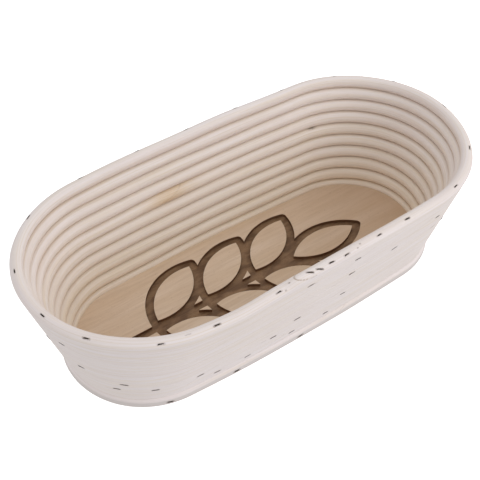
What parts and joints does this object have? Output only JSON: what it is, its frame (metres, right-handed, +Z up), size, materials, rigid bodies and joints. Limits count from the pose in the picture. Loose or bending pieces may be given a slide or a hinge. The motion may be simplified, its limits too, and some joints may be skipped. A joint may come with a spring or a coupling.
{
  "type": "banneton basket",
  "caption": "Long oval proofing basket: a leaning wall of stacked cane rings, stapled together, round a flat wooden base milled with an ear of wheat.",
  "frame": {"origin": "middle of the underside, on the surface that the basket stands on", "axes": "+X along the basket towards the wheat ear's tip, +Y across it towards the back, +Z up"},
  "size_m": [0.2874, 0.1408, 0.0766],
  "materials": {
    "cane": "pale peeled cane, sanded flat outside, half round inside",
    "board": "plain sawn board, straight grain, unvarnished, milled grooves browner",
    "staple": "dark oxidised wire, sanded flush"
  },
  "bodies": {
    "root": {"rim_ring": "cane", "wall_ring_02": "cane", "wall_ring_03": "cane", "wall_ring_04": "cane", "wall_ring_05": "cane", "wall_ring_06": "cane", "wall_ring_07": "cane", "wall_ring_08": "cane", "wall_ring_09": "cane", "foot_ring": "cane", "base_board": "board", "rim_staples": "staple", "wall_staples_02": "staple", "wall_staples_03": "staple", "wall_staples_04": "staple", "wall_staples_05": "staple", "wall_staples_06": "staple", "wall_staples_07": "staple", "wall_staples_08": "staple", "wall_staples_09": "staple", "base_staples": "staple"}
  },
  "joints": []
}
